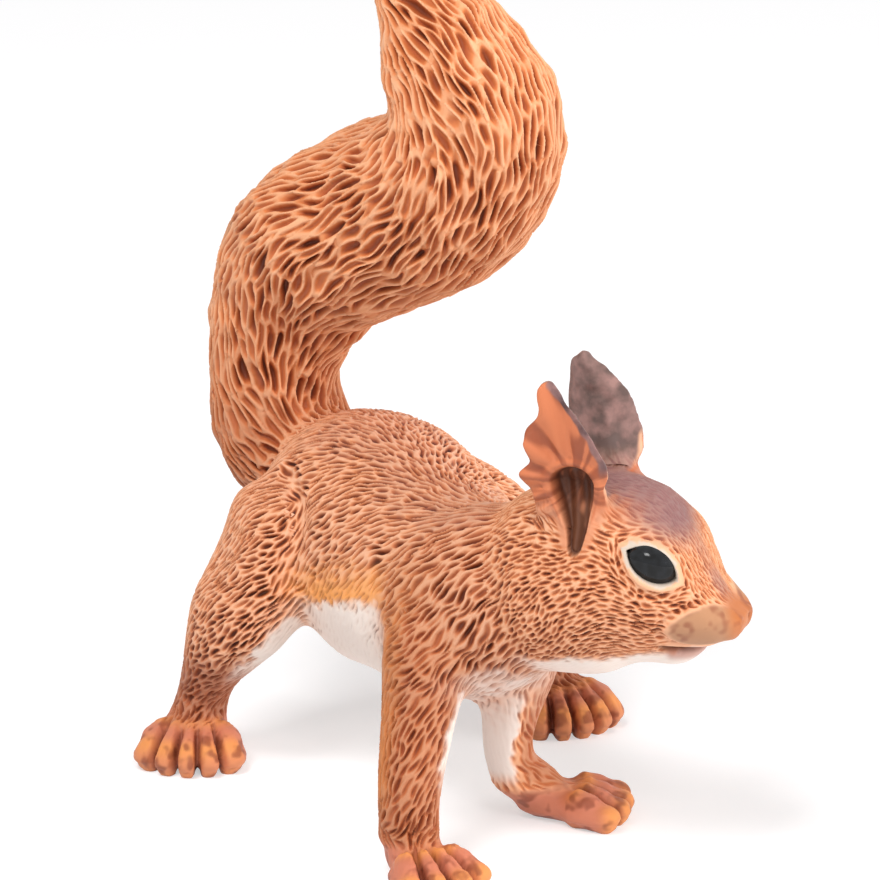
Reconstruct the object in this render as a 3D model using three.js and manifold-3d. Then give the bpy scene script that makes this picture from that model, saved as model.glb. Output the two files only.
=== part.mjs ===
// A standing squirrel figurine in moulded pieces that plug together on square keyed pegs.
// Millimetres, +Z up, soles at z = 0. The chest faces -Y and the animal's left side is +X.
import * as THREE from 'three';
import { mergeVertices } from 'three/addons/utils/BufferGeometryUtils.js';
import Module from 'manifold-3d';

const wasm = await Module();
wasm.setup();

// Main sizes
const BODY_LONG = 24.8;
const STAND_HIGH = 15.8;
const HEAD_LONG = 12.9;
const TAIL_HIGH = 33;

// Fit between two pieces that meet
const GAP = 0.3;

// Torso sections from the tail end to the neck: the middle, sideways in millimetres, along as a share
// of the body's length and up as a share of its stand; then half width and half height
const TORSO = {
  tailhead: { side: -1.0, along: 0, up: 1.032, wide: 5.3, high: 5.0 },
  croup: { side: -0.8, along: 0.113, up: 1.019, wide: 7.2, high: 6.2 },
  hips: { side: -0.6, along: 0.258, up: 0.965, wide: 7.5, high: 7.0 },
  loin: { side: -0.4, along: 0.48, up: 0.925, wide: 7.2, high: 7.0 },
  ribs: { side: -0.4, along: 0.722, up: 0.925, wide: 6.9, high: 6.5 },
  shoulder: { side: -0.2, along: 0.887, up: 0.985, wide: 6.2, high: 6.0 },
  neck: { side: 1.0, along: 1, up: 1.082, wide: 5.2, high: 5.4 },
};
const RUMP_DOME = 2.2;
const NECK_DOME = 2.4;

// Head: turned to the animal's left; places on it are shares of its length ahead of the neck, and
// millimetres up and to the side
const HEAD_TURN = 50;
const HEAD = {
  nape: { ahead: 0.031, up: 0.5, wide: 5.3, high: 5.6 },
  skull: { ahead: 0.264, up: 1.2, wide: 5.7, high: 6.2 },
  crown: { ahead: 0.481, up: 1.7, wide: 5.6, high: 6.1 },
  brow: { ahead: 0.705, up: 0.95, wide: 4.8, high: 4.85 },
  bridge: { ahead: 0.876, up: 0.15, wide: 3.4, high: 2.6 },
  muzzle: { ahead: 1, up: -0.3, wide: 2.3, high: 1.7 },
};
const HEAD_PIVOT = { x: 0.5, y: -0.6, z: 0 };
const NAPE_DOME = 2.0;
const NOSE_DOME = 1.0;
const MUZZLE_PAD = { ahead: 0.922, side: 1.25, up: -0.6, long: 1.7, wide: 1.45, high: 1.4 };
const JAW = { ahead: 0.729, up: -2.45, long: 1.9, wide: 2.6, high: 1.35 };
const MOUTH = { ahead: 0.845, up: -2.2, long: 1.8, wide: 6.4, high: 0.25, tilt: 10 };

// Eye beads: where they sit on the head, their half sizes and the slope of the almond
const EYE = { ahead: 0.69, side: 3.95, up: 3.75, long: 1.45, high: 1.12, deep: 0.85, slope: 30, splay: 24 };

// Ears: sections from the root up, measured on the head
const EAR = [
  { ahead: 0.364, out: 3.2, up: 5.0, wide: 1.7, thick: 0.7, curl: 0.0 },
  { ahead: 0.303, out: 3.9, up: 7.4, wide: 2.6, thick: 0.65, curl: 0.6 },
  { ahead: 0.268, out: 4.3, up: 9.2, wide: 2.95, thick: 0.6, curl: 0.8 },
  { ahead: 0.233, out: 4.5, up: 10.9, wide: 2.5, thick: 0.55, curl: 0.6 },
  { ahead: 0.198, out: 4.5, up: 12.4, wide: 1.85, thick: 0.5, curl: 0.3 },
  { ahead: 0.171, out: 4.4, up: 13.9, wide: 1.15, thick: 0.42, curl: 0.1 },
];
const EAR_TIP = 0.9;
const LEFT_EAR_SET = { ahead: -0.045, up: -0.5 };
const RIGHT_EAR_SET = { ahead: 0, up: 0 };
const EAR_TAB = { wide: 2.0, thick: 0.9 };

// Tail: sections from its root at the rump to the tip, in shares of the tail's height from the tail end
// of the torso
const TAIL = [
  { side: 0, back: -0.03, up: 0.018, wide: 3.5, deep: 3.4 },
  { side: -0.056, back: 0.073, up: 0.048, wide: 4.3, deep: 3.9 },
  { side: -0.093, back: 0.127, up: 0.139, wide: 4.35, deep: 3.9 },
  { side: -0.09, back: 0.136, up: 0.261, wide: 4.35, deep: 4.1 },
  { side: -0.066, back: 0.103, up: 0.384, wide: 5.1, deep: 4.8 },
  { side: -0.02, back: 0.027, up: 0.487, wide: 6.1, deep: 5.6 },
  { side: 0.067, back: -0.082, up: 0.564, wide: 6.2, deep: 6.0 },
  { side: 0.147, back: -0.188, up: 0.645, wide: 6.2, deep: 5.9 },
  { side: 0.182, back: -0.248, up: 0.77, wide: 5.7, deep: 5.3 },
  { side: 0.155, back: -0.224, up: 0.903, wide: 4.6, deep: 4.4 },
  { side: 0.106, back: -0.158, up: 1, wide: 3.1, deep: 3.2 },
];
const TAIL_TIP = 3.2;
// Strands of the tail: ropes of hair in two sets of rows that overlap, each row leaning out from the
// tail's middle line; lean is in degrees round the tail over the length of a row
const STRAND = { apart: 2.9, long: 9, high: 0.3, lean: 24 };

// Hind legs: points from the hip to the ankle, out from the flank, back from the hips, and up from the
// floor as a share of the stand
const HIND_LEG = [
  { out: -3.9, back: 2.6, up: 1.006, wide: 3.4, deep: 3.8 },
  { out: -1.9, back: 2.2, up: 0.949, wide: 3.6, deep: 4.8 },
  { out: 0, back: 1.2, up: 0.816, wide: 3.55, deep: 5.2 },
  { out: 2.3, back: 0.6, up: 0.646, wide: 2.9, deep: 4.5 },
  { out: 3.2, back: 1.9, up: 0.468, wide: 2.0, deep: 2.7 },
  { out: 3.4, back: 3.4, up: 0.291, wide: 1.7, deep: 1.8 },
  { out: 3.4, back: 4.6, up: 0.152, wide: 1.7, deep: 1.8 },
];
const HIND_PAW = { long: 3.7, wide: 2.25, high: 3.0, toes: 5, toe: 1.0, toeLong: 2.4, fan: 14 };
// Stance of each hind leg: turn of the paw, shift of the foot, and place of the joint round the torso
const RIGHT_HIND = { turn: -28, back: 0.6, out: 0, joint: 190 };
const LEFT_HIND = { turn: 6, back: -1.7, out: 1.4, joint: -10 };

// Forelegs: points from the shoulder to the wrist, measured in the same way
const RIGHT_FORELEG = [
  { out: -3.4, back: 0.2, up: 1.013, wide: 2.6, deep: 3.2 },
  { out: -1.9, back: -1.7, up: 0.861, wide: 2.9, deep: 2.9 },
  { out: -1.0, back: -2.6, up: 0.709, wide: 2.65, deep: 2.7 },
  { out: -0.1, back: -3.7, up: 0.506, wide: 2.3, deep: 2.2 },
  { out: 0.6, back: -4.6, up: 0.316, wide: 2.0, deep: 1.9 },
  { out: 0.5, back: -4.4, up: 0.152, wide: 1.95, deep: 1.7 },
];
const LEFT_FORELEG = [
  { out: -3.4, back: 0.4, up: 0.924, wide: 2.4, deep: 2.8 },
  { out: -3.3, back: 0.2, up: 0.722, wide: 2.3, deep: 2.6 },
  { out: -4.0, back: 0.3, up: 0.544, wide: 1.9, deep: 2.1 },
  { out: -4.2, back: 0.9, up: 0.354, wide: 1.6, deep: 1.7 },
  { out: -3.6, back: 1.2, up: 0.215, wide: 1.6, deep: 1.6 },
  { out: -1.7, back: 1.5, up: 0.133, wide: 1.6, deep: 1.5 },
];
const FORE_PAW = { long: 3.0, wide: 2.0, high: 2.0, toes: 4, toe: 0.8, toeLong: 3.0, fan: 15 };
const RIGHT_FORE = { turn: 6, back: 0, out: 0, joint: 205 };
const LEFT_FORE = { turn: 58, back: 0, out: 0, joint: -60 };

// Keyed pegs of the limbs, head and tail: side of the square and depth into the torso
const LIMB_PEG = { side: 2.2, deep: 3.0 };
const HEAD_PEG = { side: 3.2, deep: 3.6 };
const TAIL_PEG = { side: 2.8, deep: 3.4 };
const PEG_ROOT = 1.2;

const X = new THREE.Vector3(1, 0, 0);
const Z = new THREE.Vector3(0, 0, 1);
const RIGHT = -1;
const LEFT = 1;

// A direction in the floor plane, turned from straight ahead towards the animal's left
function heading(degrees) {
  const angle = THREE.MathUtils.degToRad(degrees);
  return new THREE.Vector3(Math.sin(angle), -Math.cos(angle), 0);
}

// A skin over rounded sections. Each section has a middle, half sizes across and through, and a
// curl that bends its two edges over. The ends close with domes of the given lengths. Relief stands
// out from the skin, by the share of the length and the angle round it.
function loft(sections, { across = X, sides = 18, steps = 3, domes, grow = 0, relief = () => 0 }) {
  const spine = new THREE.CatmullRomCurve3(sections.map((s) => s.at), false, 'centripetal');
  const sizes = new THREE.CatmullRomCurve3(
    sections.map((s) => new THREE.Vector3(s.wide, s.deep, s.curl ?? 0)), false, 'catmullrom', 0.5);
  const rings = [];
  const addRing = (t, shift, scale) => {
    const along = spine.getTangent(t);
    const middle = spine.getPoint(t).addScaledVector(along, shift);
    const size = sizes.getPoint(t);
    const side = across.clone().addScaledVector(along, -across.dot(along)).normalize();
    const through = new THREE.Vector3().crossVectors(along, side);
    const ring = [];
    for (let k = 0; k < sides; k += 1) {
      const angle = (2 * Math.PI * k) / sides;
      const out = grow + relief(t, angle);
      const u = Math.cos(angle) * (size.x + out) * scale;
      const v = (Math.sin(angle) * (size.y + out) + size.z * Math.cos(angle) ** 2) * scale;
      ring.push(middle.clone().addScaledVector(side, u).addScaledVector(through, v));
    }
    rings.push(ring);
  };
  const [startDome, endDome] = domes.map((dome) => dome + grow);
  const slopes = [35, 68].map((degrees) => THREE.MathUtils.degToRad(degrees));
  [...slopes].reverse().forEach((a) => addRing(0, -startDome * Math.sin(a), Math.cos(a)));
  const spans = (sections.length - 1) * steps;
  for (let i = 0; i <= spans; i += 1) addRing(i / spans, 0, 1);
  slopes.forEach((a) => addRing(1, endDome * Math.sin(a), Math.cos(a)));
  const start = spine.getPoint(0).addScaledVector(spine.getTangent(0), -startDome);
  const end = spine.getPoint(1).addScaledVector(spine.getTangent(1), endDome);
  return skin(rings, start, end);
}

// Triangles over a stack of rings, closed by a point at each end
function skin(rings, start, end) {
  const sides = rings[0].length;
  const points = [start, ...rings.flat(), end];
  const faces = [];
  const at = (i, k) => 1 + i * sides + (k % sides);
  for (let k = 0; k < sides; k += 1) {
    faces.push(0, at(0, k + 1), at(0, k));
    for (let i = 0; i + 1 < rings.length; i += 1) {
      faces.push(at(i, k), at(i, k + 1), at(i + 1, k));
      faces.push(at(i + 1, k), at(i, k + 1), at(i + 1, k + 1));
    }
    faces.push(points.length - 1, at(rings.length - 1, k), at(rings.length - 1, k + 1));
  }
  const geometry = new THREE.BufferGeometry().setFromPoints(points);
  geometry.setIndex(faces);
  return solid(geometry);
}

function solid(geometry) {
  const plain = new THREE.BufferGeometry();
  plain.setAttribute('position', geometry.getAttribute('position'));
  plain.setIndex(geometry.index);
  const merged = mergeVertices(plain, 1e-5);
  return new wasm.Manifold(new wasm.Mesh({
    numProp: 3,
    vertProperties: new Float32Array(merged.getAttribute('position').array),
    triVerts: new Uint32Array(merged.index.array),
  }));
}

// A frame with its third axis along one direction and its first near another
function frameAt(point, along, across) {
  const third = along.clone().normalize();
  const first = across.clone().addScaledVector(third, -across.dot(third)).normalize();
  const second = new THREE.Vector3().crossVectors(third, first);
  return new THREE.Matrix4().makeBasis(first, second, third).setPosition(point);
}

function ellipsoid(half, frame, grow = 0) {
  const geometry = new THREE.SphereGeometry(1, 14, 8);
  geometry.scale(half.x + grow, half.y + grow, half.z + grow);
  return solid(geometry.applyMatrix4(frame));
}

function box(size, frame, grow = 0) {
  const geometry = new THREE.BoxGeometry(size.x + 2 * grow, size.y + 2 * grow, size.z + 2 * grow);
  return solid(geometry.applyMatrix4(frame));
}

// A square peg through the seam at a point: rooted in one piece, running on into its neighbour
function peg({ side, deep }, { seam, inward }, grow = 0) {
  const middle = seam.clone().addScaledVector(inward, (deep - PEG_ROOT) / 2);
  const hint = Math.abs(inward.z) > 0.8 ? X : Z;
  return box(new THREE.Vector3(side, side, deep + PEG_ROOT), frameAt(middle, inward, hint), grow);
}

// Torso
const torsoAt = (s) => new THREE.Vector3(s.side, -s.along * BODY_LONG, s.up * STAND_HIGH);
const torsoSections = Object.values(TORSO).map((s) => ({ at: torsoAt(s), wide: s.wide, deep: s.high }));
const torsoLoft = (grow) => loft(torsoSections, { sides: 22, domes: [RUMP_DOME, NECK_DOME], grow });
const torsoCutter = torsoLoft(GAP);
let torso = torsoLoft(0);

// A seam point behind a torso section on its outline, with the direction to the section's middle
function onTorso(section, back, degrees) {
  const angle = THREE.MathUtils.degToRad(degrees);
  const reach = new THREE.Vector3(section.wide * Math.cos(angle), 0, section.high * Math.sin(angle));
  const seam = torsoAt(section).add(reach);
  seam.y += back;
  return { seam, inward: reach.negate().normalize() };
}

// A seam point at the middle of a torso end
function torsoEnd(last, before, dome) {
  const outward = last.at.clone().sub(before.at).normalize();
  return { seam: last.at.clone().addScaledVector(outward, dome), inward: outward.clone().negate() };
}

// Adds a peg to a piece and cuts its socket in the torso
function plug(piece, kind, joint) {
  torso = torso.subtract(peg(kind, joint, GAP));
  return piece.add(peg(kind, joint));
}

// Head with muzzle pads, a lower jaw and a mouth slit
const ahead = heading(HEAD_TURN);
const headLeft = new THREE.Vector3().crossVectors(Z, ahead);
const pivot = torsoAt(TORSO.neck).add(HEAD_PIVOT);
const onHead = (forward, left, up) => pivot.clone()
  .addScaledVector(ahead, forward * HEAD_LONG).addScaledVector(headLeft, left).addScaledVector(Z, up);
const headSections = Object.values(HEAD).map((s) => (
  { at: onHead(s.ahead, 0, s.up), wide: s.wide, deep: s.high }));
const headLoft = (grow) => (
  loft(headSections, { across: headLeft, sides: 20, domes: [NAPE_DOME, NOSE_DOME], grow }));
const headCutter = headLoft(GAP);
let head = headLoft(0);
for (const hand of [RIGHT, LEFT]) {
  const at = onHead(MUZZLE_PAD.ahead, hand * MUZZLE_PAD.side, MUZZLE_PAD.up);
  const half = new THREE.Vector3(MUZZLE_PAD.wide, MUZZLE_PAD.high, MUZZLE_PAD.long);
  head = head.add(ellipsoid(half, frameAt(at, ahead, headLeft)));
}
const jawHalf = new THREE.Vector3(JAW.wide, JAW.high, JAW.long);
head = head.add(ellipsoid(jawHalf, frameAt(onHead(JAW.ahead, 0, JAW.up), ahead, headLeft)));
const mouthAlong = ahead.clone().applyAxisAngle(headLeft, THREE.MathUtils.degToRad(MOUTH.tilt));
const mouthSize = new THREE.Vector3(MOUTH.wide, MOUTH.high, MOUTH.long);
head = head.subtract(box(mouthSize, frameAt(onHead(MOUTH.ahead, 0, MOUTH.up), mouthAlong, headLeft)));
head = head.subtract(torsoCutter);
head = plug(head, HEAD_PEG, torsoEnd(torsoSections.at(-1), torsoSections.at(-2), NECK_DOME));

// Eye beads in their sockets
function eye(hand) {
  const out = headLeft.clone().multiplyScalar(hand);
  const faced = out.clone().applyAxisAngle(Z, -hand * THREE.MathUtils.degToRad(EYE.splay));
  const long = ahead.clone().applyAxisAngle(headLeft, THREE.MathUtils.degToRad(EYE.slope));
  const place = frameAt(onHead(EYE.ahead, hand * EYE.side, EYE.up), faced, long);
  const half = new THREE.Vector3(EYE.long, EYE.high, EYE.deep);
  head = head.subtract(ellipsoid(half, place, GAP));
  return ellipsoid(half, place);
}
const rightEye = eye(RIGHT);
const leftEye = eye(LEFT);

// Ears: curled flaps whose tabs push into slots in the head
function ear(hand, set) {
  const sections = EAR.map((s) => (
    { at: onHead(s.ahead + set.ahead, hand * s.out, s.up + set.up), wide: s.wide, deep: s.thick,
      curl: hand * s.curl }));
  const flap = loft(sections, { across: ahead, sides: 14, steps: 2, domes: [0.3, EAR_TIP] });
  const [root, base] = sections.map((s) => s.at);
  const size = new THREE.Vector3(EAR_TAB.wide, EAR_TAB.thick, root.distanceTo(base));
  const place = frameAt(root.clone().lerp(base, 0.5), base.clone().sub(root), ahead);
  head = head.subtract(box(size, place, GAP));
  return flap.subtract(headCutter).add(box(size, place));
}
const rightEar = ear(RIGHT, RIGHT_EAR_SET);
const leftEar = ear(LEFT, LEFT_EAR_SET);

// Tail
const tailStart = torsoAt(TORSO.tailhead);
const tailAt = (s) => tailStart.clone().addScaledVector(new THREE.Vector3(s.side, s.back, s.up), TAIL_HIGH);
const tailSections = TAIL.map((s) => ({ at: tailAt(s), wide: s.wide, deep: s.deep }));
const tailLong = new THREE.CatmullRomCurve3(tailSections.map((s) => s.at)).getLength();
const tailWide = Math.max(...TAIL.map((s) => s.wide));
const strandsRound = Math.round((2 * Math.PI * tailWide) / STRAND.apart);
const strandLean = THREE.MathUtils.degToRad(STRAND.lean);
function strands(t, angle) {
  let high = 0;
  for (const start of [0, 0.5]) {
    const along = ((t * tailLong) / STRAND.long + start) % 1;
    const turned = angle + strandLean * along * Math.sin(2 * angle) + (2 * Math.PI * start) / strandsRound;
    high += Math.sin(Math.PI * along) ** 2 * Math.cos(strandsRound * turned);
  }
  const fade = THREE.MathUtils.smoothstep(t, 0.05, 0.2) * (1 - THREE.MathUtils.smoothstep(t, 0.85, 1));
  return STRAND.high * high * fade;
}
const tailShape = { sides: 4 * strandsRound, steps: 3, domes: [0.6, TAIL_TIP], relief: strands };
const tailLoft = (grow) => loft(tailSections, { ...tailShape, grow });
const tailCutter = tailLoft(GAP);
const tailJoint = torsoEnd(torsoSections[0], torsoSections[1], RUMP_DOME);
const tail = plug(tailLoft(0).subtract(torsoCutter), TAIL_PEG, tailJoint);

// A paw on the floor: a palm with a fan of toes in front of it
function paw(kind, at, turn) {
  const front = heading(turn);
  const across = new THREE.Vector3().crossVectors(Z, front);
  const along = (distance, up) => at.clone().addScaledVector(front, distance).setZ(up);
  const palm = [[-0.5, 0.7, 0.62], [0, 0.95, 0.6], [0.5, 1, 0.45]].map(([f, wide, up]) => (
    { at: along(f * kind.long, up * kind.high), wide: wide * kind.wide, deep: 0.62 * kind.high }));
  let body = loft(palm, { across, sides: 12, steps: 1, domes: [kind.high / 2, kind.high / 3] });
  for (let i = 0; i < kind.toes; i += 1) {
    const place = i - (kind.toes - 1) / 2;
    const way = heading(turn + place * kind.fan);
    const root = along(kind.long * (0.5 - 0.05 * place * place), 0)
      .addScaledVector(across, (place * 1.7 * kind.wide) / kind.toes);
    const toe = [[-0.2, 1.2, 1.0], [0.42, 1.35, 1.12], [0.8, 0.76, 0.9]].map(([f, up, size]) => ({
      at: root.clone().addScaledVector(way, f * kind.toeLong).setZ(up * kind.toe),
      wide: size * kind.toe,
      deep: size * kind.toe,
    }));
    body = body.add(loft(toe, { across, sides: 8, steps: 1, domes: [kind.toe, 0.75 * kind.toe] }));
  }
  return body;
}

// A leg from its points beside a torso section, with its paw, cut flat on the floor and pegged on
const floorReach = new THREE.Vector3(4 * BODY_LONG, 4 * BODY_LONG, STAND_HIGH);
const underFloor = box(floorReach, new THREE.Matrix4().makeTranslation(0, 0, -STAND_HIGH / 2));
function leg(points, hand, section, stance, pawKind) {
  const start = torsoAt(section);
  const flank = start.x + hand * section.wide;
  const sections = points.map((p, i) => {
    const share = i / (points.length - 1);
    const out = flank + hand * (p.out + share * stance.out);
    const back = start.y + p.back + share * stance.back;
    return { at: new THREE.Vector3(out, back, p.up * STAND_HIGH), wide: p.wide, deep: p.deep };
  });
  const sole = sections.at(-1).at.clone().addScaledVector(heading(stance.turn), pawKind.long / 3);
  const limb = loft(sections, { sides: 14, steps: 2, domes: [1, 0.8] }).add(paw(pawKind, sole, stance.turn));
  const cut = limb.subtract(underFloor).subtract(torsoCutter).subtract(tailCutter);
  return plug(cut, LIMB_PEG, onTorso(section, points[1].back, stance.joint));
}
const rightHindLeg = leg(HIND_LEG, RIGHT, TORSO.hips, RIGHT_HIND, HIND_PAW);
const leftHindLeg = leg(HIND_LEG, LEFT, TORSO.hips, LEFT_HIND, HIND_PAW);
const rightForeleg = leg(RIGHT_FORELEG, RIGHT, TORSO.shoulder, RIGHT_FORE, FORE_PAW);
const leftForeleg = leg(LEFT_FORELEG, LEFT, TORSO.shoulder, LEFT_FORE, FORE_PAW);

// Painted fur on moulded plastic, and glossy eye beads
const fur = new THREE.MeshStandardMaterial({ color: 0xd08a62, roughness: 0.6, metalness: 0 });
const bead = new THREE.MeshStandardMaterial({ color: 0x15130f, roughness: 0.15, metalness: 0 });

const squirrel = new THREE.Group();
squirrel.name = 'squirrel_figurine';
function addPiece(name, body, material) {
  const { vertProperties, triVerts } = body.getMesh();
  const geometry = new THREE.BufferGeometry();
  geometry.setAttribute('position', new THREE.BufferAttribute(vertProperties, 3));
  geometry.setIndex(new THREE.BufferAttribute(triVerts, 1));
  geometry.computeVertexNormals();
  const mesh = new THREE.Mesh(geometry, material);
  mesh.name = name;
  squirrel.add(mesh);
}
addPiece('torso', torso, fur);
addPiece('head', head, fur);
addPiece('right_ear', rightEar, fur);
addPiece('left_ear', leftEar, fur);
addPiece('right_eye', rightEye, bead);
addPiece('left_eye', leftEye, bead);
addPiece('tail', tail, fur);
addPiece('right_foreleg', rightForeleg, fur);
addPiece('left_foreleg', leftForeleg, fur);
addPiece('right_hind_leg', rightHindLeg, fur);
addPiece('left_hind_leg', leftHindLeg, fur);

// The middle of the base of the bounding box goes to the origin
const bounds = new THREE.Box3().setFromObject(squirrel);
const middle = bounds.getCenter(new THREE.Vector3());
for (const mesh of squirrel.children) mesh.geometry.translate(-middle.x, -middle.y, -bounds.min.z);

export default squirrel;
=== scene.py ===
import math

import bmesh
import bpy
import numpy as np
from mathutils import Matrix, Vector
from mathutils.bvhtree import BVHTree
from mathutils.kdtree import KDTree


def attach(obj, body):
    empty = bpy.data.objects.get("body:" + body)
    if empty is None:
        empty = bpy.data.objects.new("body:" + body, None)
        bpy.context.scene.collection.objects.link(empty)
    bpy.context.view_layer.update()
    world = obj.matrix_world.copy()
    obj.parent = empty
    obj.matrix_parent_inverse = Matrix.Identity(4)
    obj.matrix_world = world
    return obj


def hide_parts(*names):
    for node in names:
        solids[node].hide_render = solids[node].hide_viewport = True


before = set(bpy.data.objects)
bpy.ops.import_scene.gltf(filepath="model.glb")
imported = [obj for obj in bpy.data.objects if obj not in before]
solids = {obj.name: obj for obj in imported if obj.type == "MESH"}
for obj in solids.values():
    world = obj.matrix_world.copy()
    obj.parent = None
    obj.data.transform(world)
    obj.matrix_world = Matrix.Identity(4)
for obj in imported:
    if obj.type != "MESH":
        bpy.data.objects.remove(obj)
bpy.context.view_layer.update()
scene = bpy.context.scene
scene.view_settings.view_transform = "Standard"

# All shaping is in millimetres; the finished pieces are brought to metres at the end
MM = 0.001
RIGHT = -1
LEFT = 1
SKIN_PIECES = ["torso", "head", "right_ear", "left_ear", "tail", "right_foreleg", "left_foreleg",
               "right_hind_leg", "left_hind_leg"]
LEGS = SKIN_PIECES[5:]
HEAD_PIECES = ["head", "right_ear", "left_ear"]
EARS = {"right_ear": RIGHT, "left_ear": LEFT}
EYE_PIECES = ["right_eye", "left_eye"]
SEAM_FILL = 0.2
SKIN_GRAIN = 0.27

# Lines that the coat lies along, each from where the hair starts to where it ends: middle of the
# body there, half width and half depth
COAT_LINES = {
    "torso": [(1.47, -11.42, 17.1, 5.2, 5.4), (0.27, -8.61, 15.57, 6.2, 6.0),
              (0.07, -4.52, 14.62, 6.9, 6.5), (0.07, 1.48, 14.62, 7.2, 7.0), (-0.13, 6.98, 15.25, 7.5, 7.0),
              (-0.33, 10.58, 16.1, 7.2, 6.2), (-0.53, 13.38, 16.31, 5.3, 5.0)],
    "head": [(12.8, -21.13, 16.7, 1.5, 1.2), (11.85, -20.31, 16.8, 2.3, 1.7),
             (10.63, -19.28, 17.25, 3.4, 2.6), (8.94, -17.86, 18.05, 4.8, 4.85),
             (6.72, -16.01, 18.8, 5.6, 6.1), (4.58, -14.21, 18.3, 5.7, 6.2), (2.28, -12.27, 17.6, 5.3, 5.6)],
    "right_ear": [(3.51, -17.49, 22.1, 1.7, 0.7), (2.46, -17.52, 24.5, 2.6, 0.65),
                  (1.85, -17.53, 26.3, 2.95, 0.6), (1.38, -17.4, 28.0, 2.5, 0.55),
                  (1.03, -17.11, 29.5, 1.85, 0.5), (0.83, -16.81, 31.0, 1.15, 0.42)],
    "left_ear": [(7.18, -12.21, 21.6, 1.7, 0.7), (7.03, -11.17, 24.0, 2.6, 0.65),
                 (6.94, -10.57, 25.8, 2.95, 0.6), (6.72, -10.13, 27.5, 2.5, 0.55),
                 (6.37, -9.84, 29.0, 1.85, 0.5), (6.04, -9.69, 30.5, 1.15, 0.42)],
    "tail": [(-0.53, 12.39, 16.9, 3.5, 3.4), (-2.38, 15.79, 17.89, 4.3, 3.9), (-3.6, 17.57, 20.9, 4.35, 3.9),
             (-3.5, 17.87, 24.92, 4.35, 4.1), (-2.71, 16.78, 28.98, 5.1, 4.8),
             (-1.19, 14.27, 32.38, 6.1, 5.6), (1.68, 10.68, 34.92, 6.2, 6.0), (4.32, 7.18, 37.6, 6.2, 5.9),
             (5.48, 5.2, 41.72, 5.7, 5.3), (4.59, 5.99, 46.11, 4.6, 4.4), (2.97, 8.17, 49.31, 3.1, 3.2)],
    "right_foreleg": [(-2.53, -8.41, 16.01, 2.6, 3.2), (-4.03, -10.31, 13.61, 2.9, 2.9),
                      (-4.93, -11.21, 11.21, 2.65, 2.7), (-5.83, -12.31, 8.0, 2.3, 2.2),
                      (-6.53, -13.21, 5.0, 2.0, 1.9), (-6.43, -13.01, 2.41, 1.95, 1.7),
                      (-6.1, -16.1, 1.0, 2.0, 1.0)],
    "left_foreleg": [(3.07, -8.21, 14.6, 2.4, 2.8), (3.17, -8.41, 11.41, 2.3, 2.6),
                     (2.47, -8.31, 8.6, 1.9, 2.1), (2.27, -7.71, 5.6, 1.6, 1.7), (2.87, -7.41, 3.4, 1.6, 1.6),
                     (4.77, -7.11, 2.11, 1.6, 1.5), (8.0, -9.1, 1.0, 2.0, 1.0)],
    "right_hind_leg": [(-3.73, 9.58, 15.9, 3.4, 3.8), (-5.73, 9.28, 15.0, 3.6, 4.8),
                       (-7.63, 8.38, 12.9, 3.55, 5.2), (-9.93, 7.88, 10.21, 2.9, 4.5),
                       (-10.83, 9.28, 7.4, 2.0, 2.7), (-11.03, 10.88, 4.6, 1.7, 1.8),
                       (-11.03, 12.18, 2.41, 1.7, 1.8), (-12.9, 8.7, 1.2, 2.4, 1.2)],
    "left_hind_leg": [(3.47, 9.58, 15.9, 3.4, 3.8), (5.7, 8.9, 15.0, 3.6, 4.8),
                      (7.84, 7.62, 12.9, 3.55, 5.2), (10.37, 6.73, 10.21, 2.9, 4.5),
                      (11.5, 7.75, 7.4, 2.0, 2.7), (11.94, 8.97, 4.6, 1.7, 1.8),
                      (12.17, 9.88, 2.41, 1.7, 1.8), (12.6, 6.1, 1.2, 2.4, 1.2)],
}

# The head's own directions: it is turned to the animal's left
HEAD_PIVOT = np.array([1.97, -12.017, 0.0])
HEAD_MIDDLE = Vector((6.0, -15.5, 18.5))
HEAD_TURN = math.radians(50)
AHEAD = np.array([math.sin(HEAD_TURN), -math.cos(HEAD_TURN), 0.0])
LEFTWARD = np.array([math.cos(HEAD_TURN), math.sin(HEAD_TURN), 0.0])
UP = np.array([0.0, 0.0, 1.0])

# Eye beads: middles, half sizes and the turn of the almond, and the half sizes of the opening round them
EYES = {"right_eye": (RIGHT, (6.25, -20.764, 20.85)), "left_eye": (LEFT, (11.328, -14.713, 20.85))}
EYE_LONG = 1.62
EYE_HIGH = 1.12
EYE_DEEP = 0.85
EYE_SLOPE = math.radians(30)
EYE_SPLAY = math.radians(24)
LIDS_LONG = 1.8
LIDS_HIGH = 0.96
LIDS_ROUND = (LIDS_LONG ** 2 + LIDS_HIGH ** 2) / (2 * LIDS_HIGH)

# Ears: height on the head and place ahead of the neck of the rear and the front edge
EAR_EDGES = {
    "right_ear": ([(21.4, 4.09), (22.3, 3.29), (23.2, 2.74), (24.3, 2.18), (25.4, 1.3), (26.2, 0.75),
                   (26.9, 1.57), (27.5, 1.3), (28.1, 1.06), (28.9, 1.2), (29.6, 1.87), (30.3, 1.96),
                   (31.0, 1.75), (31.4, 1.78), (31.9, 2.06), (32.1, 2.3)],
                  [(25.5, 6.1), (26.4, 6.49), (27.2, 6.41), (28.6, 5.62), (29.5, 4.82), (30.5, 3.87),
                   (31.5, 3.01), (32.1, 2.7)]),
    "left_ear": ([(22.0, 3.0), (24.0, 1.6), (25.8, 0.95), (28.2, 0.98), (28.9, 1.05), (30.2, 1.17),
                  (30.7, 1.32), (31.3, 1.9)],
                 [(24.2, 5.7), (25.2, 5.77), (26.6, 5.6), (28.1, 5.18), (29.3, 4.53), (30.3, 3.64),
                  (30.7, 2.9), (31.3, 2.3)]),
}
EAR_LOWER = {RIGHT: 0.0, LEFT: 0.5}

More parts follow.
